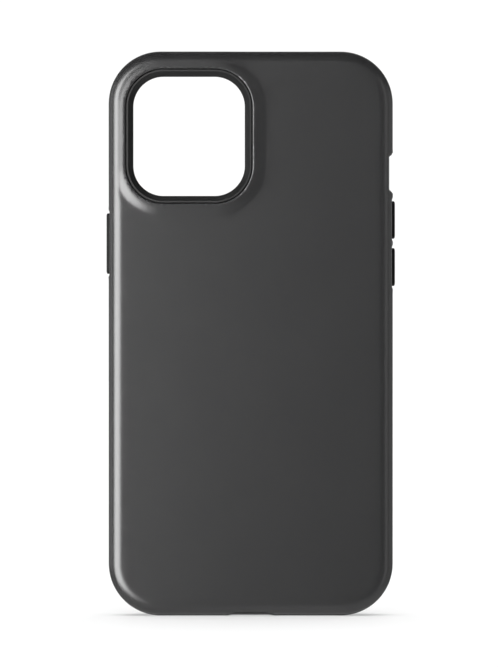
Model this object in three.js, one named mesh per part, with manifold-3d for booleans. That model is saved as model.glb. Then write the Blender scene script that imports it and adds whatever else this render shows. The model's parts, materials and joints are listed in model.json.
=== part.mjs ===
// Two-layer protective case for a large phone with a square three-lens camera.
//
// A hard outer shell wraps a flexible inner liner that the phone presses into. The liner carries the
// front lip, the camera collar and three button pads, and it comes out of the shell towards the front.
//
// Millimetres. X is across the case, Y runs from the outer back (-Y) to the screen side (+Y), and Z is
// up the height of the case, which stands on its bottom edge at Z = 0. X = 0 and Y = 0 are mid-width
// and mid-depth.

import * as THREE from 'three';
import { mergeVertices } from 'three/addons/utils/BufferGeometryUtils.js';
import Module from 'manifold-3d';

const wasm = await Module();
wasm.setup();

// ---- driving dimensions ----

const POCKET = { width: 78.3, height: 160.9, depth: 7.5, corner: 12.55 }; // the space the phone fills
const LINER_WALL = 1.2;
const LINER_BACK = 1.0;
const SHELL_WALL = 1.35;
const SHELL_BACK = 1.3;
const GAP = 0.3; // clearance between pieces
const LIP = 1.5; // thickness of the liner's front lip
const LIP_REACH = 1.2; // how far the lip hooks over the phone's screen edge

const BACK_EDGE = { size: 4.3, depth: 2.0, steps: 5 }; // elliptical rounding of the outer back edge
const POCKET_EDGE = { size: 1.2, depth: 0.7, steps: 2 }; // rounding inside the shell, and of the liner
const LIP_EDGE = { size: 1.0, depth: 0.8, steps: 2 };

const CAMERA = { width: 37.5, height: 39.8, corner: 11.2 }; // opening in the shell
const CAMERA_FROM_SIDE = 23.8; // centre of the opening from the -X side
const CAMERA_FROM_TOP = 25.1;
const RIM_RISE = 0.6; // the rim around the opening, above the back
const RIM_LAND = 0.1; // width of the rim's top
const RIM_RAMP = 2.9; // width of the slope from its top down to the back
const RIM_EDGE = 5.0; // width of the case's rounded edge where it meets that slope
const COLLAR_LAND = 0.45; // top face of the liner's collar inside the opening
const COLLAR_SINK = 0.15; // how far the collar's top stays below the rim's
const COLLAR_FLARE = { size: 1.55, depth: 1.7, steps: 1 }; // the collar's sloped inner wall

const BUTTON_PROUD = 0.7; // above the side of the case
const BUTTON_WIDTH = 3.4;
const BUTTON_CORNER = 0.9;
const BUTTON_EDGE = { size: 0.3, depth: 0.3, steps: 2 };
const BUTTON_TRAVEL = 0.45;
const BUTTON_GROOVE = 0.35; // clearance around the pad
const BASE_THICKNESS = 0.7; // the plate behind the pad, which keeps it in the liner
const BASE_OVERHANG = 0.9;
const NOTCH_MARGIN = 1.2; // shell cut away beyond each end of a pad
const NOTCH_CORNER = 1.0;

const POWER = { side: -1, low: 101.0, high: 118.9 };
const VOLUME_DOWN = { side: 1, low: 97.4, high: 108.6 };
const VOLUME_UP = { side: 1, low: 111.4, high: 122.5 };

const MUTE = { low: 124.6, high: 136.7, slope: 1.1, depth: 1.15 }; // scoop beside the phone's mute switch
const MUTE_WINDOW = { height: 8.6, width: 3.6, corner: 1.75 };

const PORT_SCOOP = { half: 7.45, slope: 3.05, depth: 0.65 }; // in the bottom edge of the shell
const PORT_LINER_RISE = 0.3; // the liner's edge at the port, above the bottom of the case
const PORT_WINDOW = { width: 12.6, height: 6.0, corner: 2.9 };
const SPEAKER_SLOT = { width: 11.5, height: 2.4, corner: 1.15 };
const SPEAKER_FROM_MIDDLE = 19.5;

const CORNER_STEPS = 5;
const CLEAR = 5; // how far a cutter runs past the surface it opens

// ---- places worked out from the driving dimensions ----

const WALLS = LINER_WALL + GAP + SHELL_WALL;
const WIDTH = POCKET.width + 2 * WALLS;
const HEIGHT = POCKET.height + 2 * WALLS;
const DEPTH = RIM_RISE + SHELL_BACK + GAP + LINER_BACK + POCKET.depth + LIP;
const SIDE = WIDTH / 2;
const MIDDLE = HEIGHT / 2;

const RIM_TOP = -DEPTH / 2;
const BACK_FACE = RIM_TOP + RIM_RISE;
const SHELL_FLOOR = BACK_FACE + SHELL_BACK;
const LINER_BACK_FACE = SHELL_FLOOR + GAP;
const LINER_FLOOR = LINER_BACK_FACE + LINER_BACK;
const POCKET_FRONT = LINER_FLOOR + POCKET.depth;
const LIP_FRONT = POCKET_FRONT + LIP;
const SHELL_FRONT = POCKET_FRONT - GAP;
const POCKET_MIDDLE = (LINER_FLOOR + POCKET_FRONT) / 2;

const POCKET_SIDE = POCKET.width / 2;
const CAMERA_X = CAMERA_FROM_SIDE - SIDE;
const CAMERA_Z = HEIGHT - CAMERA_FROM_TOP;
const BEVEL_END = BACK_FACE + BACK_EDGE.depth + GAP; // where the side walls have become straight

// ---- outlines ----

function roundedRect(width, height, corner, x = 0, y = 0) {
  const [right, top] = [width / 2, height / 2];
  const shape = new THREE.Shape();
  shape.moveTo(x + right, y - top + corner);
  shape.absarc(x + right - corner, y + top - corner, corner, 0, Math.PI / 2);
  shape.absarc(x - right + corner, y + top - corner, corner, Math.PI / 2, Math.PI);
  shape.absarc(x - right + corner, y - top + corner, corner, Math.PI, 1.5 * Math.PI);
  shape.absarc(x + right - corner, y - top + corner, corner, 1.5 * Math.PI, 2 * Math.PI);
  return shape;
}

// The case's outline seen from behind, grown outwards from the phone pocket.
function outline(grow) {
  const { width, height, corner } = POCKET;
  return roundedRect(width + 2 * grow, height + 2 * grow, corner + grow, 0, MIDDLE);
}

// The camera opening's outline, grown outwards from the edge of the shell's opening.
function cameraOutline(grow) {
  const { width, height, corner } = CAMERA;
  return roundedRect(width + 2 * grow, height + 2 * grow, corner + grow, CAMERA_X, CAMERA_Z);
}

// A notch along a wall from low to high, whose depth runs from y = back to past the front of the case.
function notchSpan(low, high, back, grow) {
  const front = LIP_FRONT + CLEAR;
  const [length, depth] = [high - low + 2 * grow, front - back + grow];
  return { length, depth, centre: (low + high) / 2, y: front - depth / 2 };
}

// ---- solids ----

function solid(geometry) {
  geometry.deleteAttribute('normal');
  geometry.deleteAttribute('uv');
  const merged = mergeVertices(geometry);
  const vertProperties = new Float32Array(merged.attributes.position.array);
  const triVerts = new Uint32Array(merged.index.array);
  return new wasm.Manifold(new wasm.Mesh({ numProp: 3, vertProperties, triVerts }));
}

// A shape at full size for a length, whose ends are rounded or sloped inwards over edge.depth more.
function extrude(shape, length, edge) {
  return new THREE.ExtrudeGeometry(shape, {
    depth: length,
    curveSegments: CORNER_STEPS,
    bevelEnabled: Boolean(edge),
    bevelThickness: edge?.depth,
    bevelSize: edge?.size,
    bevelOffset: -(edge?.size ?? 0),
    bevelSegments: edge?.steps,
  });
}

// An (x, z) outline extruded along Y.
function alongY(shape, back, front, edge) {
  return solid(extrude(shape, front - back, edge).rotateX(Math.PI / 2).translate(0, front, 0));
}

// A (y, z) outline extruded along X.
function alongX(shape, from, to, edge) {
  const turn = new THREE.Matrix4().set(0, 0, 1, from, 1, 0, 0, 0, 0, 1, 0, 0, 0, 0, 0, 1);
  return solid(extrude(shape, to - from, edge).applyMatrix4(turn));
}

// An (x, y) outline extruded along Z.
function alongZ(shape, from, to) {
  return solid(extrude(shape, to - from).translate(0, 0, from));
}

const join = (solids) => solids.reduce((a, b) => a.add(b));
const cut = (body, cutters) => cutters.reduce((a, b) => a.subtract(b), body);

// Everything between two depths, wider and taller than the case.
function layer(back, front) {
  return alongY(roundedRect(2 * WIDTH, 2 * HEIGHT, 1, 0, MIDDLE), back, front);
}

// ---- cuts that both layers share ----

// The scoop beside the mute switch, through the whole depth of the case.
function muteScoop() {
  const { low, high, slope, depth } = MUTE;
  const shape = new THREE.Shape();
  shape.moveTo(SIDE + CLEAR, low);
  shape.lineTo(SIDE + CLEAR, high);
  shape.lineTo(SIDE, high);
  shape.lineTo(SIDE - depth, high - slope);
  shape.lineTo(SIDE - depth, low + slope);
  shape.lineTo(SIDE, low);
  return alongY(shape, RIM_TOP - CLEAR, LIP_FRONT + CLEAR);
}

// The scoop in the bottom edge at the charging port.
function portScoop(depth) {
  const { half, slope } = PORT_SCOOP;
  const shape = new THREE.Shape();
  shape.moveTo(-half, -CLEAR);
  shape.lineTo(half, -CLEAR);
  shape.lineTo(half, 0);
  shape.lineTo(half - slope, depth);
  shape.lineTo(slope - half, depth);
  shape.lineTo(-half, 0);
  return alongY(shape, RIM_TOP - CLEAR, LIP_FRONT + CLEAR);
}

// The slots under the phone's speakers, grown by a clearance.
function speakerSlots(grow) {
  const { width, height, corner } = SPEAKER_SLOT;
  return [-1, 1].map((side) => {
    const x = side * SPEAKER_FROM_MIDDLE;
    const shape = roundedRect(width + 2 * grow, height + 2 * grow, corner + grow, x, POCKET_MIDDLE);
    return alongZ(shape, -CLEAR, WALLS + CLEAR);
  });
}

// The notches in the shell's walls that are open to the front, which the liner fills: one at the power
// button, one at the volume buttons and mute switch, and one at the charging port. Shrunk by GAP they
// are the liner's islands.
function notches(grow) {
  const reach = SHELL_WALL + GAP + LINER_WALL / 2;
  const xSpan = { '-1': [-SIDE - CLEAR, reach - SIDE], 1: [SIDE - reach, SIDE + CLEAR] };
  const sideNotch = (side, low, high, back) => {
    const { length, depth, centre, y } = notchSpan(low, high, back, grow);
    return alongX(roundedRect(depth, length, NOTCH_CORNER, y, centre), ...xSpan[side]);
  };
  const buttonNotches = [POWER, VOLUME_DOWN, VOLUME_UP].map(({ side, low, high }) =>
    sideNotch(side, low - NOTCH_MARGIN, high + NOTCH_MARGIN, SHELL_FLOOR));
  const port = notchSpan(-PORT_SCOOP.half, PORT_SCOOP.half, SHELL_FLOOR, grow);
  const portShape = roundedRect(port.length, port.depth, NOTCH_CORNER, port.centre, port.y);
  return join([
    ...buttonNotches,
    sideNotch(1, VOLUME_DOWN.low - NOTCH_MARGIN, MUTE.high, BEVEL_END),
    sideNotch(1, MUTE.low, MUTE.high, SHELL_FLOOR),
    alongZ(portShape, -CLEAR, reach),
  ]);
}

// ---- pieces ----

function outerShell() {
  const body = alongY(outline(WALLS), BACK_FACE + BACK_EDGE.depth, SHELL_FRONT, BACK_EDGE);
  const rimDepth = RIM_RISE + BACK_EDGE.depth;
  const ramp = { size: RIM_RAMP * rimDepth / RIM_RISE, depth: rimDepth, steps: 1 };
  const edge = { size: RIM_EDGE, depth: rimDepth, steps: BACK_EDGE.steps };
  const pad = alongY(
    cameraOutline(RIM_LAND + ramp.size), RIM_TOP + rimDepth, RIM_TOP + rimDepth + GAP, ramp);
  const envelope = alongY(outline(WALLS), RIM_TOP + rimDepth, SHELL_FRONT, edge);
  const pocket = alongY(
    outline(LINER_WALL + GAP), SHELL_FLOOR + POCKET_EDGE.depth, SHELL_FRONT + CLEAR, POCKET_EDGE);
  const camera = alongY(cameraOutline(0), RIM_TOP - CLEAR, LIP_FRONT);
  const block = body.add(pad.intersect(envelope)).intersect(layer(RIM_TOP - CLEAR, SHELL_FRONT));
  return cut(block, [
    pocket,
    camera,
    notches(0),
    muteScoop(),
    portScoop(PORT_SCOOP.depth),
    ...speakerSlots(GAP),
  ]);
}

// The window in the liner that a button works in: a slot for the pad and a deeper seat for its base.
function buttonWindow({ side, low, high }) {
  const y = POCKET_MIDDLE;
  const [z, length] = [(low + high) / 2, high - low];
  const seat = BUTTON_GROOVE + BASE_OVERHANG;
  const slot = (grow) => roundedRect(
    BUTTON_WIDTH + 2 * grow, length + 2 * grow, BUTTON_CORNER + grow, y, z);
  const seatDepth = BUTTON_TRAVEL + BASE_THICKNESS + GAP;
  const ordered = (a, b) => [Math.min(side * a, side * b), Math.max(side * a, side * b)];
  return join([
    alongX(slot(BUTTON_GROOVE), ...ordered(POCKET_SIDE - LIP_REACH, SIDE + CLEAR)),
    alongX(slot(seat), ...ordered(POCKET_SIDE - LIP_REACH, POCKET_SIDE + seatDepth)),
  ]);
}

function innerLiner() {
  const tray = alongY(
    outline(LINER_WALL), LINER_BACK_FACE + POCKET_EDGE.depth, POCKET_FRONT, POCKET_EDGE)
    .intersect(layer(RIM_TOP, POCKET_FRONT));
  const lip = alongY(outline(WALLS), POCKET_FRONT, LIP_FRONT - LIP_EDGE.depth, LIP_EDGE)
    .intersect(layer(POCKET_FRONT, LIP_FRONT + CLEAR));
  const islandEnvelope = alongY(outline(WALLS - GAP), LINER_BACK_FACE, POCKET_FRONT);
  const islands = notches(-GAP).intersect(islandEnvelope);
  const collar = alongY(cameraOutline(-GAP), RIM_TOP + COLLAR_SINK, LINER_FLOOR);

  const pocket = alongY(
    outline(0), LINER_FLOOR + POCKET_EDGE.depth, POCKET_FRONT - POCKET_EDGE.depth, POCKET_EDGE);
  const mouth = alongY(outline(-LIP_REACH), POCKET_MIDDLE, LIP_FRONT + CLEAR);
  const collarTop = RIM_TOP + COLLAR_SINK;
  const flare = alongY(
    cameraOutline(-GAP - COLLAR_LAND), collarTop - CLEAR, collarTop, COLLAR_FLARE);
  const through = alongY(
    cameraOutline(-GAP - COLLAR_LAND - COLLAR_FLARE.size), RIM_TOP - CLEAR, LIP_FRONT);
  const mute = alongX(
    roundedRect(MUTE_WINDOW.width, MUTE_WINDOW.height, MUTE_WINDOW.corner,
      POCKET_MIDDLE, (MUTE.low + MUTE.high) / 2),
    POCKET_SIDE - LIP_REACH, SIDE + CLEAR);
  const port = alongZ(
    roundedRect(PORT_WINDOW.width, PORT_WINDOW.height, PORT_WINDOW.corner, 0, POCKET_MIDDLE),
    -CLEAR, WALLS + CLEAR);

  return cut(join([tray, lip, islands, collar]), [
    pocket,
    mouth,
    flare,
    through,
    muteScoop(),
    mute,
    portScoop(PORT_LINER_RISE),
    port,
    ...speakerSlots(0),
    buttonWindow(POWER),
    buttonWindow(VOLUME_UP),
    buttonWindow(VOLUME_DOWN),
  ]);
}

// A button in its own frame: X outwards from the pocket's wall, Z up, centred on Y and Z.
function buttonPad({ low, high }) {
  const length = high - low;
  const shape = (grow) => roundedRect(
    BUTTON_WIDTH + 2 * grow, length + 2 * grow, BUTTON_CORNER + grow);
  const face = WALLS + BUTTON_PROUD;
  const baseTop = BUTTON_TRAVEL + BASE_THICKNESS;
  const pad = alongX(shape(0), BUTTON_TRAVEL + BUTTON_EDGE.depth, face - BUTTON_EDGE.depth, BUTTON_EDGE);
  const base = alongX(shape(BASE_OVERHANG), BUTTON_TRAVEL, baseTop);
  return pad.add(base);
}

// ---- materials ----

const hardPlastic = () => new THREE.MeshStandardMaterial({ color: 0x3d3d3e, roughness: 0.42, metalness: 0 });
const softRubber = () => new THREE.MeshStandardMaterial({ color: 0x121213, roughness: 0.7, metalness: 0 });

// ---- assembly ----

function mesh(name, body, material) {
  const { numProp, vertProperties, triVerts } = body.getMesh();
  const geometry = new THREE.BufferGeometry();
  geometry.setAttribute('position', new THREE.BufferAttribute(vertProperties, numProp));
  geometry.setIndex(new THREE.BufferAttribute(triVerts, 1));
  geometry.computeVertexNormals();
  const piece = new THREE.Mesh(geometry, material);
  piece.name = name;
  return piece;
}

function button(name, place) {
  const piece = mesh(name, buttonPad(place), softRubber());
  piece.position.set(place.side * POCKET_SIDE, POCKET_MIDDLE, (place.low + place.high) / 2);
  piece.rotation.z = place.side < 0 ? Math.PI : 0;
  return piece;
}

const liner = new THREE.Group();
liner.add(mesh('inner_liner', innerLiner(), softRubber()));
liner.add(button('power_button', POWER));
liner.add(button('volume_up_button', VOLUME_UP));
liner.add(button('volume_down_button', VOLUME_DOWN));

const phoneCase = new THREE.Group();
phoneCase.add(mesh('outer_shell', outerShell(), hardPlastic()));
phoneCase.add(liner);

export default phoneCase;
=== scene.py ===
"""A two-layer phone case standing upright on a pale studio floor, seen square on from behind.

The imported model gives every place. Each piece here is a fine version of one of its nodes: the outer
shell as one surface laid out flat and wrapped round the case, the liner and the buttons as lofted solids
with holes cut in them. Lengths are in millimetres until a mesh is made, and in metres in Blender.
"""

import json
import math

import bpy
import numpy as np
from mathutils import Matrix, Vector
from mathutils.geometry import delaunay_2d_cdt
from mathutils.kdtree import KDTree


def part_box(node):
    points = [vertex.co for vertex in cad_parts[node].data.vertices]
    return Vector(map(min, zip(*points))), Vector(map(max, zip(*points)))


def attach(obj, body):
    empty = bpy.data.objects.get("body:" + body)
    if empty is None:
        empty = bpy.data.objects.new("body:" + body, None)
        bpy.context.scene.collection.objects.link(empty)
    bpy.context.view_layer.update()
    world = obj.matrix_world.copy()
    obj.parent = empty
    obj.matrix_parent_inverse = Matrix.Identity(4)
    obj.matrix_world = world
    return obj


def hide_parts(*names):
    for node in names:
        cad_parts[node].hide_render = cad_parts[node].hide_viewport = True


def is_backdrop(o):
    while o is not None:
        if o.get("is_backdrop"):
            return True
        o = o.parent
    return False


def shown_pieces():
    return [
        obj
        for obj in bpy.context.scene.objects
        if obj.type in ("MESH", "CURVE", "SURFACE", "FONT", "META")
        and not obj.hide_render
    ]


MM = 0.001
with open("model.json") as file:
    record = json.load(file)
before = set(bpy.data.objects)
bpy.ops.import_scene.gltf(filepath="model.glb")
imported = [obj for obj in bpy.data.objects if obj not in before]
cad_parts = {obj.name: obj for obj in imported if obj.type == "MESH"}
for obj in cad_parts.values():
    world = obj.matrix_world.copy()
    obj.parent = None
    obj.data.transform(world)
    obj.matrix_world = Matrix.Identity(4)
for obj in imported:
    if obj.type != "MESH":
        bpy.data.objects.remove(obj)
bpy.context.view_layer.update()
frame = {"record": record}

# ---- places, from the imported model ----


def box_mm(node):
    low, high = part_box(node)
    return np.array(low) / MM, np.array(high) / MM


def mount_mm(name):
    return next(m["pos_m"] for m in frame["record"]["mounts"] if m["name"] == name)


def opening_mm(name):
    openings = frame["record"]["physics"]["openings"]
    low, high = next(o["box_m"] for o in openings if o["name"] == name)
    return np.array(low) / MM, np.array(high) / MM


shell_low, shell_high = box_mm("outer_shell")
liner_low, liner_high = box_mm("inner_liner")
camera_low, camera_high = opening_mm("camera_opening")

SIDE = shell_high[0]
HEIGHT = shell_high[2]
MIDDLE = HEIGHT / 2
RIM_TOP = shell_low[1]
SHELL_FRONT = shell_high[1]
LIP_FRONT = liner_high[1]
BACK_FACE = mount_mm("outer_back")[1] / MM
LINER_FLOOR = mount_mm("pocket_floor")[1] / MM
CAMERA_X, _, CAMERA_Z = (camera_low + camera_high) / 2

# ---- sizes of the case's details ----

CORNER = 15.4
GAP = 0.3
SHELL_WALL = 1.35
SHELL_BACK = 1.3
LINER_WALL = 1.2
LIP_REACH = 1.2
SHELL_FLOOR = BACK_FACE + SHELL_BACK
LINER_BACK_FACE = SHELL_FLOOR + GAP
POCKET_FRONT = SHELL_FRONT + GAP
POCKET_MIDDLE = (LINER_FLOOR + POCKET_FRONT) / 2
LINER_OUT = SHELL_WALL + GAP  # from the case's outline in to the liner's outer wall
POCKET_IN = LINER_OUT + LINER_WALL  # from the case's outline in to the phone's space

EDGE = 4.3  # width of the rounded back edge, and how deep it goes
EDGE_DEPTH = 2.0
WALL_TOP = BACK_FACE + EDGE_DEPTH  # where the side walls have become straight
WALL = SHELL_FRONT - WALL_TOP
POCKET_EDGE = (1.2, 0.7)

RIM_RISE = BACK_FACE - RIM_TOP
RIM_RAMP = 3.5
RIM_REACH = 4.1  # from the opening to the foot of the slope around it
RIM_LIP = (0.06, 0.9)  # rise and width of the last flick of the slope, at the opening
RIM_MERGE = (2.5, 4.6)  # inward from the case's outline, where the slope gives way to the case's edge
CAMERA_HALF = (37.5 / 2, 39.8 / 2)
CAMERA_CORNER = 11.2

NOTCH_MARGIN = 1.2
NOTCH_CORNER = 1.6
BASE_OVERHANG = 0.9  # how far a button's base stands out past its pad
MUTE = (124.6, 136.7)
MUTE_DEPTH = 1.15
MUTE_SLOPE = 1.3
PORT_HALF = 7.45
PORT_DEPTH = 0.65
PORT_SLOPE = 3.0
SLOT_X = 19.5
SLOT_HALF = (5.75, 1.2)
SLOT_CORNER = 1.15

SHELL_ROUND = 0.25  # rounding of every cut edge of the shell
SHELL_LIFT = 0.36
FOOT_GAP = 0.04
FOOT_BACK = 1.5
LIFT_REACH = 14.0


def pad_span(node):
    low, high = box_mm(node)
    return low[2] + BASE_OVERHANG, high[2] - BASE_OVERHANG


POWER = pad_span("power_button")
VOLUME_UP = pad_span("volume_up_button")
VOLUME_DOWN = pad_span("volume_down_button")

# ---- distances in the plane ----


def box_distance(a, b, centre, half, corner):
    """Signed distance from (a, b) to a rounded rectangle, negative inside."""
    qa = np.abs(a - centre[0]) - (half[0] - corner)
    qb = np.abs(b - centre[1]) - (half[1] - corner)
    outside = np.hypot(np.maximum(qa, 0), np.maximum(qb, 0))
    return outside + np.minimum(np.maximum(qa, qb), 0) - corner


def smooth(t):
    t = np.clip(t, 0, 1)
    return t * t * (3 - 2 * t)


def scoop_depth(along, low, high, slope, depth):
    """How deep a scoop with soft ends is, at a place along its edge."""
    return depth * smooth((along - low) / slope) * smooth((high - along) / slope)


def mute_depth(z):
    return scoop_depth(z, *MUTE, MUTE_SLOPE, MUTE_DEPTH)


def port_depth(x, depth=PORT_DEPTH):
    return scoop_depth(x, -PORT_HALF, PORT_HALF, PORT_SLOPE, depth)


def camera_distance(x, z):
    return box_distance(x, z, (CAMERA_X, CAMERA_Z), CAMERA_HALF, CAMERA_CORNER)


def outline_inward(x, z):
    """How far (x, z) is inside the case's outline, and the outward direction there."""
    qx = np.abs(x) - (SIDE - CORNER)
    qz = np.abs(z - MIDDLE) - (MIDDLE - CORNER)
    length = np.maximum(np.hypot(np.maximum(qx, 0), np.maximum(qz, 0)), 1e-9)
    corner = (qx > 0) & (qz > 0)
    inward = -box_distance(x, z, (0, MIDDLE), (SIDE, MIDDLE), CORNER)
    nx = np.where(corner, qx / length, qx > qz) * np.sign(x)
    nz = np.where(corner, qz / length, qx <= qz) * np.sign(z - MIDDLE)
    return inward, nx, nz


# ---- the shell, laid out flat ----
#
# A place on the flat is (a, b). Inside the case's outline that is (x, z) on the back. Outside it, the
# distance past the outline is how far down the side wall the place is.


def edge_angle(inward):
    """Sine and cosine of the place on the back edge's quarter ellipse, from the flat to the wall."""
    sine = np.clip(1 - inward / EDGE, 0, 1)
    return sine, np.sqrt(1 - sine * sine)


def rim_rise(x, z, inward):
    """Height of the raised area above the back. Its slope follows the camera opening, and the case's own
    edge rises and falls gently where the raised area runs out over the side and the top."""
    away = camera_distance(x, z)
    around = smooth((RIM_REACH - away) / RIM_RAMP)
    up_side = smooth((z - CAMERA_Z + CAMERA_HALF[1]) / CAMERA_CORNER)
    along_top = smooth((CAMERA_X + CAMERA_HALF[0] - x) / CAMERA_CORNER)
    back = smooth((inward - RIM_MERGE[0]) / (RIM_MERGE[1] - RIM_MERGE[0]))
    flick = RIM_LIP[0] * np.clip(1 - away / RIM_LIP[1], 0, 1) ** 2
    return (RIM_RISE - RIM_LIP[0]) * (around * back + up_side * along_top * (1 - back)) + flick


def lifted(z):
    """The shell's bottom edge stays a little above the floor, and the liner's lip carries the case."""
    return z + SHELL_LIFT * np.clip(1 - z / LIFT_REACH, 0, 1) ** 2


def outer_place(a, b):
    inward, nx, nz = outline_inward(a, b)
    past = np.maximum(-inward, 0)
    x, z = a - nx * past, b - nz * past
    _, cosine = edge_angle(inward)
    rim = rim_rise(x, z, inward) * np.clip(1 - past / EDGE, 0, 1)
    y = BACK_FACE + EDGE_DEPTH * (1 - cosine) + past - rim
    return np.stack([x, y, lifted(z)], -1)


def in_scoop(a, b):
    mute = (1 - smooth(np.maximum(MUTE[0] - b, b - MUTE[1]))) * (a > SIDE / 2)
    port = (1 - smooth(np.abs(a) - PORT_HALF)) * (b < MIDDLE / 2)
    return np.maximum(mute, port)


def inner_place(a, b):
    inward, nx, nz = outline_inward(a, b)
    past = np.maximum(-inward, 0)
    sine, cosine = edge_angle(inward)
    flat = 1 - sine
    spread = POCKET_EDGE[0] * flat + (EDGE - SHELL_WALL - POCKET_EDGE[0]) * flat * flat
    inside = np.where(inward < EDGE, SHELL_WALL + spread, inward)
    inside = inside + (np.maximum(inward, 0) - inside) * in_scoop(a, b) * smooth(inward / 0.8)
    move = inside - inward
    y = SHELL_FLOOR + POCKET_EDGE[1] * (1 - cosine) + past
    return np.stack([a - nx * move, y, lifted(b - nz * move)], -1)


def notch_boxes():
    """The notches in the side walls as (side, low, high, back), seen from the side."""
    m = NOTCH_MARGIN
    return [
        (-1, POWER[0] - m, POWER[1] + m, SHELL_FLOOR),
        (1, VOLUME_DOWN[0] - m, VOLUME_DOWN[1] + m, SHELL_FLOOR),
        (1, VOLUME_UP[0] - m, VOLUME_UP[1] + m, SHELL_FLOOR),
        (1, VOLUME_DOWN[0] - m, MUTE[1], WALL_TOP + GAP),
        (1, MUTE[0], MUTE[1], SHELL_FLOOR),
    ]


def notch_distance(along, y, low, high, back, grow=0.0):
    front = LIP_FRONT + 2 * NOTCH_CORNER
    half = ((high - low) / 2 + grow, (front - back + grow) / 2)
    return box_distance(along, y, ((low + high) / 2, front - half[1]), half, NOTCH_CORNER)


def material_left(a, b):
    """Distance from a place on the flat to the shell's nearest edge, negative where it is cut away."""
    x, y, z = np.moveaxis(outer_place(a, b), -1, 0)
    left = SHELL_FRONT - y
    left = np.minimum(left, np.where(a > 0, SIDE - mute_depth(b) - a, left) + 1e3 * (mute_depth(b) <= 0))
    left = np.minimum(left, np.where(b < MIDDLE, b - port_depth(a), left) + 1e3 * (port_depth(a) <= 0))
    left = np.minimum(left, camera_distance(a, b))
    for side, low, high, back in notch_boxes():
        here = side * a > SIDE - EDGE
        left = np.where(here, np.minimum(left, notch_distance(z, y, low, high, back)), left)
    below = b < EDGE
    port = notch_distance(x, y, -PORT_HALF, PORT_HALF, SHELL_FLOOR)
    left = np.where(below, np.minimum(left, port), left)
    for sign in (-1, 1):
        half = (SLOT_HALF[0] + GAP, SLOT_HALF[1] + GAP)
        slot = box_distance(x, y, (sign * SLOT_X, POCKET_MIDDLE), half, SLOT_CORNER + GAP)
        left = np.where(below & (b < 0), np.minimum(left, slot), left)
    return left


# ---- curves on the flat ----


def rounded_loop(centre, half, corner, grow=0.0, step=1.0):
    """Points round a rounded rectangle grown outwards, the same number for every grow."""
    arc = max(4, math.ceil(corner * math.pi / 2 / step))
    points = []
    for quarter in range(4):
        sa, sb = ((1, 1), (-1, 1), (-1, -1), (1, -1))[quarter]
        hub = (centre[0] + sa * (half[0] - corner), centre[1] + sb * (half[1] - corner))
        for i in range(arc + 1):
            angle = (quarter + i / arc) * math.pi / 2
            radius = corner + grow
            points.append((hub[0] + radius * math.cos(angle), hub[1] + radius * math.sin(angle)))
        run = 2 * (half[1] - corner) if quarter % 2 else 2 * (half[0] - corner)
        count = max(1, round(run / step))
        nb = (-sa * (quarter % 2 == 0), -sb * (quarter % 2 == 1))
        last = points[-1]
        for i in range(1, count):
            points.append((last[0] + nb[0] * run * i / count, last[1] + nb[1] * run * i / count))
    return np.array(points)


def on_flat(along, y, side):
    """A curve seen from the side, as (along, y), laid on the flat. side is -1, 1 or 0 for the bottom."""
    drop = np.clip((y - BACK_FACE) / EDGE_DEPTH, 0, 1)
    inward = EDGE * (1 - np.sqrt(1 - (1 - drop) ** 2))
    past = np.maximum(y - WALL_TOP, 0)
    out = past - np.where(past > 0, 0, inward)
    if side == 0:
        return np.stack([along, -out], -1)
    return np.stack([side * (SIDE + out), along], -1)


def notch_loop(side, low, high, back, grow):
    front = LIP_FRONT + 2 * NOTCH_CORNER
    half = ((high - low) / 2, (front - back) / 2)
    loop = rounded_loop(((low + high) / 2, front - half[1]), half, NOTCH_CORNER, grow, 0.35)
    return on_flat(loop[:, 0], loop[:, 1], side)


def edge_curves(grow):
    """Every cut edge of the shell, or the same curves moved into the material by grow."""
    curves = [rounded_loop((0, MIDDLE), (SIDE + WALL, MIDDLE + WALL), CORNER + WALL, -grow, 1.2)]
    curves.append(rounded_loop((CAMERA_X, CAMERA_Z), CAMERA_HALF, CAMERA_CORNER, grow, 0.7))
    curves += [notch_loop(*notch, grow) for notch in notch_boxes()]
    curves.append(notch_loop(0, -PORT_HALF, PORT_HALF, SHELL_FLOOR, grow))
    for sign in (-1, 1):
        half = (SLOT_HALF[0] + GAP, SLOT_HALF[1] + GAP)
        loop = rounded_loop((sign * SLOT_X, POCKET_MIDDLE), half, SLOT_CORNER + GAP, grow, 0.4)
        curves.append(on_flat(loop[:, 0], loop[:, 1], 0))
    z = np.arange(MUTE[0], MUTE[1], 0.2)
    curves.append(np.stack([SIDE - mute_depth(z) - grow, z], -1))
    x = np.arange(-PORT_HALF, PORT_HALF, 0.3)
    curves.append(np.stack([x, port_depth(x) + grow], -1))
    return curves


def flat_points():
    """The shell's points on the flat, as curves that are kept whole and loose points between them."""
    rounding = [SHELL_ROUND * (1 - math.cos(math.radians(a))) for a in (25, 50, 90)]
    edges = edge_curves(0.0)
    near = [c for grow in rounding for c in edge_curves(grow)]
    steps = 14
    inward = [EDGE * (1 - math.sin(math.pi / 2 * i / steps)) for i in range(steps + 1)]
    inward += [-WALL * i / 5 for i in range(1, 5)]
    loose = [rounded_loop((0, MIDDLE), (SIDE, MIDDLE), CORNER, -t, 1.3) for t in inward]
    around = [SHELL_ROUND + 0.26 * i for i in range(1, 17)]
    loose += [rounded_loop((CAMERA_X, CAMERA_Z), CAMERA_HALF, CAMERA_CORNER, d, 1.0) for d in around]
    grid = np.stack(np.meshgrid(np.arange(-36, 37, 4.0), np.arange(6, HEIGHT - 5, 4.0)), -1)
    loose.append(grid.reshape(-1, 2))
    return edges, near, loose


def thinned(kept, added, spacing):
    """The added points that are at least spacing from every point already kept."""
    tree = KDTree(len(kept))
    for i, p in enumerate(kept):
        tree.insert((p[0], p[1], 0), i)
    tree.balance()
    far = [p for p in added if tree.find((p[0], p[1], 0))[2] > spacing]
    return np.array(far).reshape(-1, 2)


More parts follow.
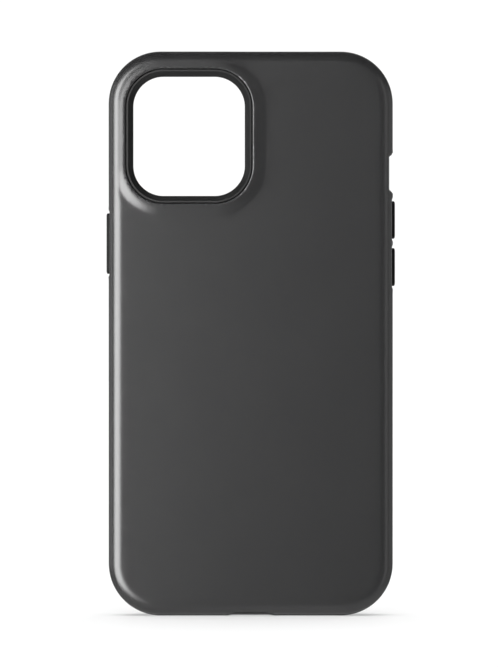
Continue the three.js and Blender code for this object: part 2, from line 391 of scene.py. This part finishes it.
def shell_surface():
    """The shell's triangles on the flat: points, and triangles anticlockwise in (a, b)."""
    edges, near, loose = flat_points()
    points = []
    links = []
    for curve in edges:
        closed = np.hypot(*(curve[0] - curve[-1])) < 3
        first = len(points)
        points += [tuple(p) for p in curve]
        links += [(i, i + 1) for i in range(first, len(points) - 1)]
        if closed:
            links.append((len(points) - 1, first))
    kept = np.array(points)
    for group, spacing, margin in ((near, 0.02, 0.004), (loose, 0.3, SHELL_ROUND + 0.08)):
        for curve in group:
            inside = curve[material_left(curve[:, 0], curve[:, 1]) > margin]
            fresh = thinned(kept, inside, spacing)
            kept = np.concatenate([kept, fresh])
    flat, _, faces, *_ = delaunay_2d_cdt([Vector(p) for p in kept], links, [], 0, 1e-6)
    flat = np.array([tuple(p) for p in flat])
    triangles = np.array([f for f in faces if len(f) == 3])
    middle = flat[triangles].mean(1)
    triangles = triangles[material_left(middle[:, 0], middle[:, 1]) > 0]
    used, triangles = np.unique(triangles, return_inverse=True)
    return flat[used], triangles.reshape(-1, 3)


def normals_of(place, a, b, step=1e-3):
    da = place(a + step, b) - place(a - step, b)
    db = place(a, b + step) - place(a, b - step)
    n = np.cross(da, db)
    return n / np.maximum(np.linalg.norm(n, axis=1, keepdims=True), 1e-12)


def make_shell_mesh():
    flat, triangles = shell_surface()
    a, b = flat[:, 0], flat[:, 1]
    outer, inner = outer_place(a, b), inner_place(a, b)
    across = np.linalg.norm(outer - inner, axis=1)
    edge = np.clip(material_left(a, b), 0, SHELL_ROUND)
    sink = SHELL_ROUND - np.sqrt(SHELL_ROUND**2 - (SHELL_ROUND - edge) ** 2)
    sink = np.minimum(sink, 0.4 * across)[:, None]
    outer = outer - sink * normals_of(outer_place, a, b)
    inner = inner + sink * normals_of(inner_place, a, b)
    count = len(flat)
    faces = [tuple(t) for t in triangles] + [tuple(count + t[::-1]) for t in triangles]
    sides = {}
    for t in triangles:
        for i, j in ((t[0], t[1]), (t[1], t[2]), (t[2], t[0])):
            if (j, i) in sides:
                del sides[(j, i)]
            else:
                sides[(i, j)] = True
    faces += [(j, i, i + count, j + count) for i, j in sides]
    return np.concatenate([outer, inner]), faces


# ---- meshes ----


def new_object(name, vertices, faces):
    mesh = bpy.data.meshes.new(name)
    mesh.from_pydata([tuple(v) for v in np.asarray(vertices) * MM], [], [tuple(map(int, f)) for f in faces])
    mesh.validate()
    mesh.shade_smooth()
    piece = bpy.data.objects.new(name, mesh)
    bpy.context.collection.objects.link(piece)
    return piece


def turned(loop, level, axis):
    """A flat loop at a level along an axis: (x, z) along Y, (y, z) along X, (x, y) along Z."""
    u, v = loop[:, 0], loop[:, 1]
    level = np.full(len(loop), level)
    return np.stack({"X": [level, u, v], "Y": [u, level, v], "Z": [u, v, level]}[axis], -1)


def prism(name, axis, levels):
    """A closed solid through loops at rising levels, all with the same number of points."""
    count = len(levels[0][1])
    points = np.concatenate([turned(loop, level, axis) for level, loop in levels])
    faces = [tuple(range(count))[::-1], tuple(range(len(points) - count, len(points)))]
    for k in range(len(levels) - 1):
        for i in range(count):
            j = (i + 1) % count
            faces.append((k * count + i, k * count + j, (k + 1) * count + j, (k + 1) * count + i))
    middle = points.mean(0)
    volume = 0.0
    for f in faces:
        p = points[list(f)] - middle
        volume += sum(p[0] @ np.cross(p[i], p[i + 1]) for i in range(1, len(f) - 1))
    if volume < 0:
        faces = [f[::-1] for f in faces]
    return new_object(name, points, faces)


def rounded(low, high, low_edge=None, high_edge=None, steps=6):
    """(level, grow) pairs of a solid whose ends are rounded inwards by (size, depth)."""
    quarter = [math.pi / 2 * i / steps for i in range(steps + 1)]
    pairs = [(low, 0.0)]
    if low_edge:
        size, depth = low_edge
        pairs = [(low + depth * (1 - math.cos(t)), -size * (1 - math.sin(t))) for t in quarter]
    if high_edge:
        size, depth = high_edge
        end = [(high - depth * (1 - math.cos(t)), -size * (1 - math.sin(t))) for t in quarter]
        return pairs + end[::-1]
    return pairs + [(high, 0.0)]


def flared(low, high, flare, at, past, steps=4):
    """(level, grow) pairs of a cutter from low past a face at level at, which rounds the hole's rim there.
    past is 1 if the cutter leaves the solid upwards and -1 if downwards."""
    quarter = [math.pi / 2 * i / steps for i in range(steps + 1)]
    rim = [(at - past * flare * (1 - math.sin(t)), flare * (1 - math.cos(t))) for t in quarter]
    if past > 0:
        return [(low, 0.0)] + rim + [(high, flare)]
    return [(low, flare)] + rim[::-1] + [(high, 0.0)]


def rect_levels(pairs, centre, half, corner, step, extra=0.0):
    return [(level, rounded_loop(centre, half, corner, grow + extra, step)) for level, grow in pairs]


def case_levels(pairs, inward, step=1.0):
    return rect_levels(pairs, (0, MIDDLE), (SIDE, MIDDLE), CORNER, step, -inward)


def camera_levels(pairs):
    return rect_levels(pairs, (CAMERA_X, CAMERA_Z), CAMERA_HALF, CAMERA_CORNER, 0.6)


def combined(target, others, operation):
    """The target joined with, cut by or kept inside the others, which are used up."""
    for other in others:
        change = target.modifiers.new("combine", "BOOLEAN")
        change.object = other
        change.operation = operation
        change.solver = "MANIFOLD"
    return applied(target, others)


def applied(target, used=()):
    graph = bpy.context.evaluated_depsgraph_get()
    mesh = bpy.data.meshes.new_from_object(target.evaluated_get(graph))
    target.modifiers.clear()
    target.data = mesh
    for other in used:
        bpy.data.objects.remove(other)
    return target


# ---- the liner ----

BEYOND = 5.0  # how far a cutter runs past what it cuts
POCKET_SIDE = SIDE - POCKET_IN
COLLAR_TOP = RIM_TOP + 0.15
COLLAR_LAND = 0.45
COLLAR_FLARE = (1.55, 1.7)
LIP_EDGE = (1.0, 0.8)
LIP_ROUND = 0.45
SMALL_ROUND = 0.25
PAD_HALF_WIDTH = 1.7
PAD_CORNER = 0.9
PAD_GROOVE = 0.35
PAD_TRAVEL = 0.45
BASE_THICKNESS = 0.7
MUTE_WINDOW = (1.8, 4.3, 1.75)
PORT_WINDOW = (6.3, 3.0, 2.9)
PORT_LINER_RISE = 0.3


def island(side, low, high, back):
    """The block of liner that fills a notch in the shell's side wall."""
    front = POCKET_FRONT + NOTCH_CORNER
    half = ((front - back - GAP) / 2, (high - low) / 2 - GAP)
    centre = (front - half[0], (low + high) / 2)
    inner, outer = SIDE - LINER_OUT - LINER_WALL / 2, SIDE + BEYOND
    pairs = [(inner, 0.0), (outer, 0.0)] if side > 0 else [(-outer, 0.0), (-inner, 0.0)]
    return prism("island", "X", rect_levels(pairs, centre, half, NOTCH_CORNER - GAP, 0.3))


def port_island():
    front = POCKET_FRONT + NOTCH_CORNER
    half = (PORT_HALF - GAP, (front - SHELL_FLOOR - GAP) / 2)
    pairs = [(-BEYOND, 0.0), (LINER_OUT + LINER_WALL / 2, 0.0)]
    return prism("island", "Z", rect_levels(pairs, (0, front - half[1]), half, NOTCH_CORNER - GAP, 0.3))


def foot():
    """The thin lip of liner that the case stands on, which dies away round the bottom corners."""
    loop = rounded_loop((0, MIDDLE), (SIDE, MIDDLE), CORNER, 0.0, 0.6)
    low = loop[loop[:, 1] < LIFT_REACH - 3]
    low = low[np.argsort(np.arctan2(low[:, 0], MIDDLE - low[:, 1]))]
    top = low.copy()
    top[:, 1] = lifted(low[:, 1]) - FOOT_GAP
    outline = np.concatenate([low, top[::-1]])
    return prism("foot", "Y", [(WALL_TOP + FOOT_BACK, outline), (POCKET_FRONT + LIP_ROUND, outline)])


def liner_body():
    body = prism("inner_liner_fine", "Y", case_levels(
        rounded(LINER_BACK_FACE, POCKET_FRONT + LIP_ROUND, POCKET_EDGE), LINER_OUT))
    lip = prism("lip", "Y", case_levels(
        rounded(POCKET_FRONT, LIP_FRONT, (SMALL_ROUND, SMALL_ROUND), LIP_EDGE), 0))
    collar = prism("collar", "Y", camera_levels(
        [(y, grow - GAP) for y, grow in rounded(COLLAR_TOP, LINER_FLOOR - 0.01, (0.12, 0.12), steps=3)]))
    envelope = prism("envelope", "Y", case_levels(
        rounded(LINER_BACK_FACE, POCKET_FRONT + LIP_ROUND, (SMALL_ROUND, SMALL_ROUND)), GAP))
    blocks = [island(*notch) for notch in notch_boxes()] + [port_island()]
    islands = combined(combined(blocks[0], blocks[1:], "UNION"), [envelope], "INTERSECT")
    return combined(body, [lip, collar, islands, foot()], "UNION")


def scoop_cutter(axis):
    """The scoop at the mute switch, or the one at the port, through the case's whole depth."""
    if axis == "mute":
        z = np.linspace(*MUTE, 61)
        curve = np.stack([SIDE - mute_depth(z), z], -1)
        far = [(SIDE + BEYOND, MUTE[1]), (SIDE + BEYOND, MUTE[0])]
    else:
        x = np.linspace(-PORT_HALF, PORT_HALF, 61)
        curve = np.stack([x, port_depth(x, PORT_LINER_RISE)], -1)
        far = [(PORT_HALF, -BEYOND), (-PORT_HALF, -BEYOND)]
    loop = np.concatenate([curve, far])
    return prism("scoop", "Y", [(RIM_TOP - BEYOND, loop), (LIP_FRONT + BEYOND, loop)])


def pocket_cutters():
    mouth = flared(POCKET_MIDDLE, LIP_FRONT + 1, LIP_ROUND, LIP_FRONT, 1)
    pocket = rounded(LINER_FLOOR, POCKET_FRONT, POCKET_EDGE, POCKET_EDGE)
    top, (size, depth) = -GAP - COLLAR_LAND, COLLAR_FLARE
    hole = [(RIM_TOP - BEYOND, top), (COLLAR_TOP, top), (COLLAR_TOP + 0.25, top - 0.12)]
    hole += [(COLLAR_TOP + depth, top - size)]
    hole += [(y, top - size + grow) for y, grow in flared(0, LINER_FLOOR + 1, SMALL_ROUND, LINER_FLOOR, 1)[1:]]
    return [
        prism("pocket", "Y", case_levels(pocket, POCKET_IN)),
        prism("mouth", "Y", case_levels(mouth, POCKET_IN + LIP_REACH)),
        prism("hole", "Y", camera_levels(hole)),
    ]


def bottom_cutters():
    rise = flared(-BEYOND, POCKET_IN + BEYOND, SMALL_ROUND, PORT_LINER_RISE, -1)
    a, b, corner = PORT_WINDOW
    cutters = [prism("port", "Z", rect_levels(rise, (0, POCKET_MIDDLE), (a, b), corner, 0.4))]
    for sign in (-1, 1):
        pairs = [(-BEYOND, 0.0), (POCKET_IN + BEYOND, 0.0)]
        centre = (sign * SLOT_X, POCKET_MIDDLE)
        cutters.append(prism("slot", "Z", rect_levels(pairs, centre, SLOT_HALF, SLOT_CORNER, 0.3)))
    return cutters


def side_levels(pairs, side):
    """The same levels measured outwards on either side of the case."""
    return pairs if side > 0 else [(-level, grow) for level, grow in pairs[::-1]]


def window_cutters(side, low, high):
    """A button's window: a slot for the pad, and a deeper seat behind it for the base."""
    centre, half = (POCKET_MIDDLE, (low + high) / 2), (PAD_HALF_WIDTH, (high - low) / 2)
    inner = POCKET_SIDE - LIP_REACH
    slot = flared(inner, SIDE + BEYOND, SMALL_ROUND, SIDE - GAP, 1)
    seat = [(inner, 0.0), (POCKET_SIDE + PAD_TRAVEL + BASE_THICKNESS + GAP, 0.0)]
    cutters = []
    for pairs, grow in ((slot, PAD_GROOVE), (seat, PAD_GROOVE + BASE_OVERHANG)):
        levels = rect_levels(side_levels(pairs, side), centre, half, PAD_CORNER, 0.25, grow)
        cutters.append(prism("window", "X", levels))
    return cutters


def mute_cutter():
    a, b, corner = MUTE_WINDOW
    pairs = flared(POCKET_SIDE - LIP_REACH, SIDE + BEYOND, SMALL_ROUND, SIDE - MUTE_DEPTH, 1)
    levels = rect_levels(pairs, (POCKET_MIDDLE, sum(MUTE) / 2), (a, b), corner, 0.3)
    return prism("mute", "X", levels)


def make_liner():
    cutters = pocket_cutters() + bottom_cutters() + [scoop_cutter("mute"), scoop_cutter("port"), mute_cutter()]
    for side, span in ((-1, POWER), (1, VOLUME_UP), (1, VOLUME_DOWN)):
        cutters += window_cutters(side, *span)
    return even_shading(combined(liner_body(), cutters, "DIFFERENCE"))


def even_shading(piece, angle=28):
    """Keeps flats flat and corners crisp, and shades the roundings smoothly."""
    piece.data.shade_smooth()
    piece.data.set_sharp_from_angle(angle=math.radians(angle))
    weighted = piece.modifiers.new("even", "WEIGHTED_NORMAL")
    weighted.keep_sharp = True
    weighted.weight = 50
    return applied(piece)


# ---- the buttons ----

PAD_EDGE = (0.35, 0.35)
PAD_CROWN = 0.1


def make_button(name, node, side, span):
    low, high = span
    centre, half = (POCKET_MIDDLE, (low + high) / 2), (PAD_HALF_WIDTH, (high - low) / 2)
    back, top = POCKET_SIDE + PAD_TRAVEL, box_mm(node)[1][0] if side > 0 else -box_mm(node)[0][0]
    base = rounded(back, back + BASE_THICKNESS, (0.12, 0.12), (0.12, 0.12), steps=2)
    pairs = [(level, grow + BASE_OVERHANG) for level, grow in base]
    pairs += [(back + BASE_THICKNESS, 0.12), (back + BASE_THICKNESS + 0.12, 0.0)]
    pairs += rounded(back + BASE_THICKNESS + 0.2, top - PAD_CROWN, None, PAD_EDGE)[1:]
    for t in (0.3, 0.6, 0.85, 1.0):
        pairs.append((top - PAD_CROWN * (1 - t) ** 2, -PAD_EDGE[0] - t * (PAD_CORNER - PAD_EDGE[0] - 0.03)))
    levels = rect_levels(side_levels(pairs, side), centre, half, PAD_CORNER, 0.2)
    return even_shading(prism(name, "X", levels))


# ---- materials ----


def material(name):
    made = bpy.data.materials.new(name)
    made.use_nodes = True
    nodes, links = made.node_tree.nodes, made.node_tree.links
    shader = nodes["Principled BSDF"]
    place = nodes.new("ShaderNodeTexCoord").outputs["Object"]
    return made, nodes, links, shader, place


def noise(nodes, links, place, millimetres, detail=2.0):
    node = nodes.new("ShaderNodeTexNoise")
    node.inputs["Scale"].default_value = 1 / (millimetres * MM)
    node.inputs["Detail"].default_value = detail
    links.new(place, node.inputs["Vector"])
    return node.outputs["Fac"]


def between(nodes, links, value, low, high, source=(0.3, 0.7)):
    node = nodes.new("ShaderNodeMapRange")
    node.inputs["From Min"].default_value, node.inputs["From Max"].default_value = source
    node.inputs["To Min"].default_value, node.inputs["To Max"].default_value = low, high
    links.new(value, node.inputs["Value"])
    return node.outputs["Result"]


def colours(nodes, links, value, dark, light):
    node = nodes.new("ShaderNodeMix")
    node.data_type = "RGBA"
    node.inputs[6].default_value = (*dark, 1)
    node.inputs[7].default_value = (*light, 1)
    links.new(value, node.inputs[0])
    return node.outputs[2]


def bump(nodes, links, height, depth_mm, strength, under=None):
    node = nodes.new("ShaderNodeBump")
    node.inputs["Strength"].default_value = strength
    node.inputs["Distance"].default_value = depth_mm * MM
    links.new(height, node.inputs["Height"])
    if under:
        links.new(under, node.inputs["Normal"])
    return node.outputs["Normal"]


def satin_plastic():
    """Charcoal polycarbonate with a fine spark-eroded grain."""
    made, nodes, links, shader, place = material("satin_charcoal_plastic")
    cloud = between(nodes, links, noise(nodes, links, place, 14.0, 3.0), 0, 1)
    grain = noise(nodes, links, place, 0.22, 3.0)
    links.new(colours(nodes, links, cloud, (0.0122, 0.0122, 0.0125), (0.0134, 0.0134, 0.0137)),
              shader.inputs["Base Color"])
    links.new(between(nodes, links, noise(nodes, links, place, 3.0, 4.0), 0.225, 0.245), shader.inputs["Roughness"])
    links.new(bump(nodes, links, grain, 0.003, 0.2), shader.inputs["Normal"])
    shader.inputs["IOR"].default_value = 1.58
    return made


def soft_rubber(name, dark, light, rough):
    """Matte black TPU with a finer, softer texture than the shell's."""
    made, nodes, links, shader, place = material(name)
    cloud = between(nodes, links, noise(nodes, links, place, 9.0, 3.0), 0, 1)
    grain = noise(nodes, links, place, 0.15, 2.0)
    swell = noise(nodes, links, place, 5.0, 1.0)
    links.new(colours(nodes, links, cloud, dark, light), shader.inputs["Base Color"])
    links.new(between(nodes, links, noise(nodes, links, place, 2.0, 3.0), rough - 0.04, rough + 0.04),
              shader.inputs["Roughness"])
    shader.inputs["Specular IOR Level"].default_value = 0.3
    soft = bump(nodes, links, swell, 0.02, 0.3)
    links.new(bump(nodes, links, grain, 0.01, 0.4, soft), shader.inputs["Normal"])
    return made


# ---- the pieces ----


def finish_piece(piece, body, node, look):
    piece.data.materials.clear()
    piece.data.materials.append(look)
    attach(piece, body)
    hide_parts(node)


plastic = satin_plastic()
rubber = soft_rubber("matte_black_rubber", (0.0034, 0.0034, 0.0035), (0.0048, 0.0048, 0.0049), 0.48)
pad_rubber = soft_rubber("button_rubber", (0.0038, 0.0038, 0.0039), (0.005, 0.005, 0.0051), 0.55)

finish_piece(new_object("outer_shell_fine", *make_shell_mesh()), "shell", "outer_shell", plastic)
finish_piece(make_liner(), "liner", "inner_liner", rubber)
for body, side, span in (("power", -1, POWER), ("volume_up", 1, VOLUME_UP), ("volume_down", 1, VOLUME_DOWN)):
    pad = make_button(f"{body}_pad", f"{body}_button", side, span)
    finish_piece(pad, body, f"{body}_button", pad_rubber)

# ---- studio ----

CAMERA_DISTANCE = 1.2
FRAME_HEIGHT = 0.1966  # what the frame takes in, top to bottom, at the case's back
SENSOR = 36.0


def make_camera():
    data = bpy.data.cameras.new("camera")
    data.sensor_width = SENSOR
    data.lens = SENSOR * CAMERA_DISTANCE / FRAME_HEIGHT
    camera = bpy.data.objects.new("camera", data)
    camera.location = (-0.000215, BACK_FACE * MM - CAMERA_DISTANCE, 0.08332)
    camera.rotation_euler = (math.pi / 2, 0, 0)
    bpy.context.collection.objects.link(camera)
    bpy.context.scene.camera = camera


def only_for(light, name, objects):
    """The light falls on these objects alone."""
    receivers = bpy.data.collections.new(name)
    for o in objects:
        receivers.objects.link(o)
    light.light_linking.receiver_collection = receivers


def softbox(name, place, aim, size, radiance, objects):
    data = bpy.data.lights.new(name, "AREA")
    data.shape = "RECTANGLE"
    data.size, data.size_y = size
    data.energy = radiance * math.pi * size[0] * size[1]
    light = bpy.data.objects.new(name, data)
    light.location = place
    light.rotation_euler = (Vector(aim) - Vector(place)).to_track_quat("-Z", "Y").to_euler()
    light.visible_camera = False
    only_for(light, name + "_receivers", objects)
    bpy.context.collection.objects.link(light)


def floor_light(floor, strength, softness, aim, shadow=True):
    """A soft light that only the floor takes, so that it stays white and the case keeps its dark greys."""
    data = bpy.data.lights.new("floor_light", "SUN")
    data.energy = strength
    data.angle = math.radians(softness)
    data.use_shadow = shadow
    light = bpy.data.objects.new("floor_light", data)
    light.rotation_euler = Vector(aim).to_track_quat("-Z", "Y").to_euler()
    only_for(light, "floor_only", [floor])
    bpy.context.collection.objects.link(light)


def make_floor():
    size = 6000.0
    loop = np.array([(-size, -size), (size, -size), (size, size), (-size, size)])
    floor = new_object("floor", turned(loop, 0.0, "Z"), [(0, 1, 2, 3)])
    made, nodes, links, shader, place = material("pale_floor")
    cloud = between(nodes, links, noise(nodes, links, place, 400.0), 0, 1)
    links.new(colours(nodes, links, cloud, (0.91, 0.91, 0.91), (0.93, 0.93, 0.93)), shader.inputs["Base Color"])
    shader.inputs["Roughness"].default_value = 0.8
    shader.inputs["Specular IOR Level"].default_value = 0.2
    floor.data.materials.append(made)
    floor.visible_glossy = False
    return floor


def make_world(levels, horizon, sides, below):
    """A soft studio: white along the horizon behind the case, dim on the camera's side."""
    world = bpy.data.worlds.new("studio")
    bpy.context.scene.world = world
    world.use_nodes = True
    nodes, links = world.node_tree.nodes, world.node_tree.links
    place = nodes.new("ShaderNodeTexCoord").outputs["Generated"]
    axes = {}
    for name, axis in (("right", (1, 0, 0)), ("back", (0, 1, 0)), ("up", (0, 0, 1))):
        towards = nodes.new("ShaderNodeVectorMath")
        towards.operation = "DOT_PRODUCT"
        towards.inputs[1].default_value = axis
        links.new(place, towards.inputs[0])
        axes[name] = towards.outputs["Value"]
    level = between(nodes, links, axes["back"], levels[0], levels[1], (-0.3, 0.5))
    level = mixed(nodes, links, between(nodes, links, axes["right"], 1, 0, (-0.9, -0.55)), level, sides[0])
    level = mixed(nodes, links, between(nodes, links, axes["right"], 0, 1, (0.5, 0.85)), level, sides[1])
    level = mixed(nodes, links, between(nodes, links, axes["up"], 1, 0, (-0.5, -0.25)), level, below)
    rise = nodes.new("ShaderNodeMath")
    rise.operation = "ABSOLUTE"
    links.new(axes["up"], rise.inputs[0])
    band = nodes.new("ShaderNodeMath")
    band.operation = "MULTIPLY"
    links.new(between(nodes, links, rise.outputs[0], 1, 0, (0.1, 0.3)), band.inputs[0])
    links.new(between(nodes, links, axes["back"], 0, 1, (0.0, 0.45)), band.inputs[1])
    level = mixed(nodes, links, band.outputs[0], level, horizon)
    level = mixed(nodes, links, nodes.new("ShaderNodeLightPath").outputs["Is Camera Ray"], level, horizon)
    links.new(level, nodes["Background"].inputs["Strength"])
    nodes["Background"].inputs["Color"].default_value = (1, 1, 1, 1)


def mixed(nodes, links, factor, level, target):
    """The level, moved towards a target by the factor."""
    node = nodes.new("ShaderNodeMix")
    node.inputs["B"].default_value = target
    links.new(factor, node.inputs["Factor"])
    links.new(level, node.inputs["A"])
    return node.outputs["Result"]


MID = (0, 0, MIDDLE * MM)

CASE = [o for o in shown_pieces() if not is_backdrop(o)]
SHELL = [o for o in CASE if o.name == "outer_shell_fine"]
LINER = [o for o in CASE if o.name == "inner_liner_fine"]

make_camera()
FLOOR = make_floor()
floor_light(FLOOR, 1.5, 85, (0, 0.1, -1))
floor_light(FLOOR, 1.45, 20, (0, 0, -1), shadow=False)
make_world((0.12, 0.5), 1.03, (0.4, 0.16), 0.75)
softbox("key", (-0.42, -0.81, 0.075), MID, (0.415, 0.74), 11.4, CASE)
softbox("left_side", (-0.95, -0.3, 0.2), MID, (0.5, 0.8), 1.1, CASE)
softbox("above", (-0.2, -0.2, 0.95), MID, (0.8, 0.5), 1.2, LINER)
softbox("right_fill", (0.55, -0.72, 0.10), MID, (0.24, 0.8), 0.85, SHELL)
softbox("right_side", (0.9, -0.3, 0.1), MID, (0.6, 0.8), 0.6, SHELL)
softbox("top_strip", (0, -0.88, 0.42), MID, (0.9, 0.09), 0.5, SHELL)
bpy.context.scene.view_settings.view_transform = "Standard"
